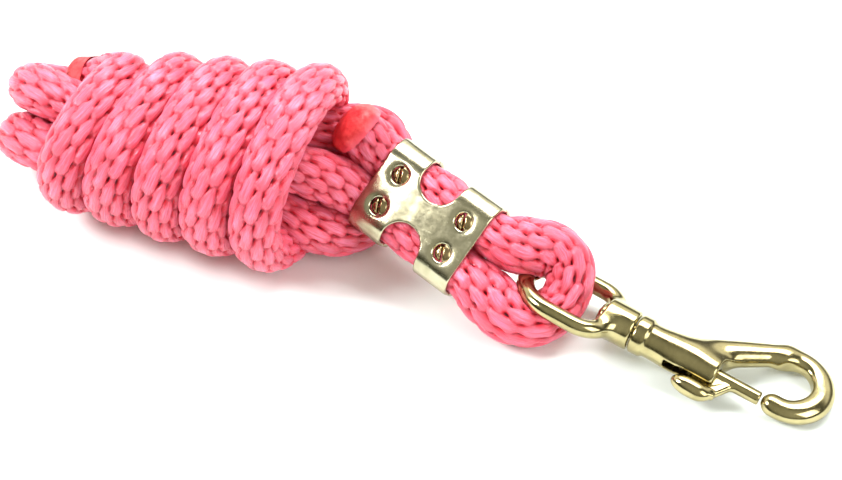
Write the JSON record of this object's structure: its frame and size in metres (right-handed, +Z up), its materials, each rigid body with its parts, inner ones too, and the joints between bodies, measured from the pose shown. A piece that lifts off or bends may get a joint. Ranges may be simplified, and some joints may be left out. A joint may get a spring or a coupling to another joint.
{
  "type": "lead rope",
  "caption": "Braided rope lead wound into a hank, its end clamped round the swivel eye of a brass bolt snap.",
  "frame": {"origin": "on the surface the hank rests on, under the middle of the wound part", "axes": "+X along the snap in plan, towards its hook; +Z up; +Y away from the side that the clamp's face leans to"},
  "size_m": [0.2661, 0.0763, 0.0649],
  "materials": {
    "rope": "silky solid braid in hot pink filament yarn",
    "clamp_brass": "pale bright brass plate on pressed sheet",
    "snap_brass": "polished brass plate on a casting",
    "spring_steel": "bare spring wire"
  },
  "bodies": {
    "rope": {"rope_hank": "rope", "rope_eye_loop": "rope", "rope_loose_bight": "rope", "clamp_front": "clamp_brass", "clamp_back": "clamp_brass"},
    "eye": {"swivel_eye": "snap_brass"},
    "snap": {"swivel_rivet": "snap_brass", "snap_body": "snap_brass", "bolt_spring": "spring_steel"},
    "bolt": {"bolt": "snap_brass"}
  },
  "joints": [
    {"name": "eye_swing", "type": "hinge", "parent": "rope", "child": "eye", "pos_m": [0.1179, 0.0175, 0.0128], "axis": [0, -0.8, -0.6], "range_deg": [-8, 22]},
    {"name": "snap_swivel", "type": "hinge", "parent": "eye", "child": "snap", "pos_m": [0.141, 0.0175, 0.01], "axis": [0.9925, 0, -0.1219], "continuous": true},
    {"name": "bolt_slide", "type": "slide", "parent": "snap", "child": "bolt", "axis": [-0.9925, 0, 0.1219], "range_m": [0, 0.012], "stiffness_N_per_m": 250, "springref_m": -0.004, "deforming": ["bolt_spring"]}
  ]
}
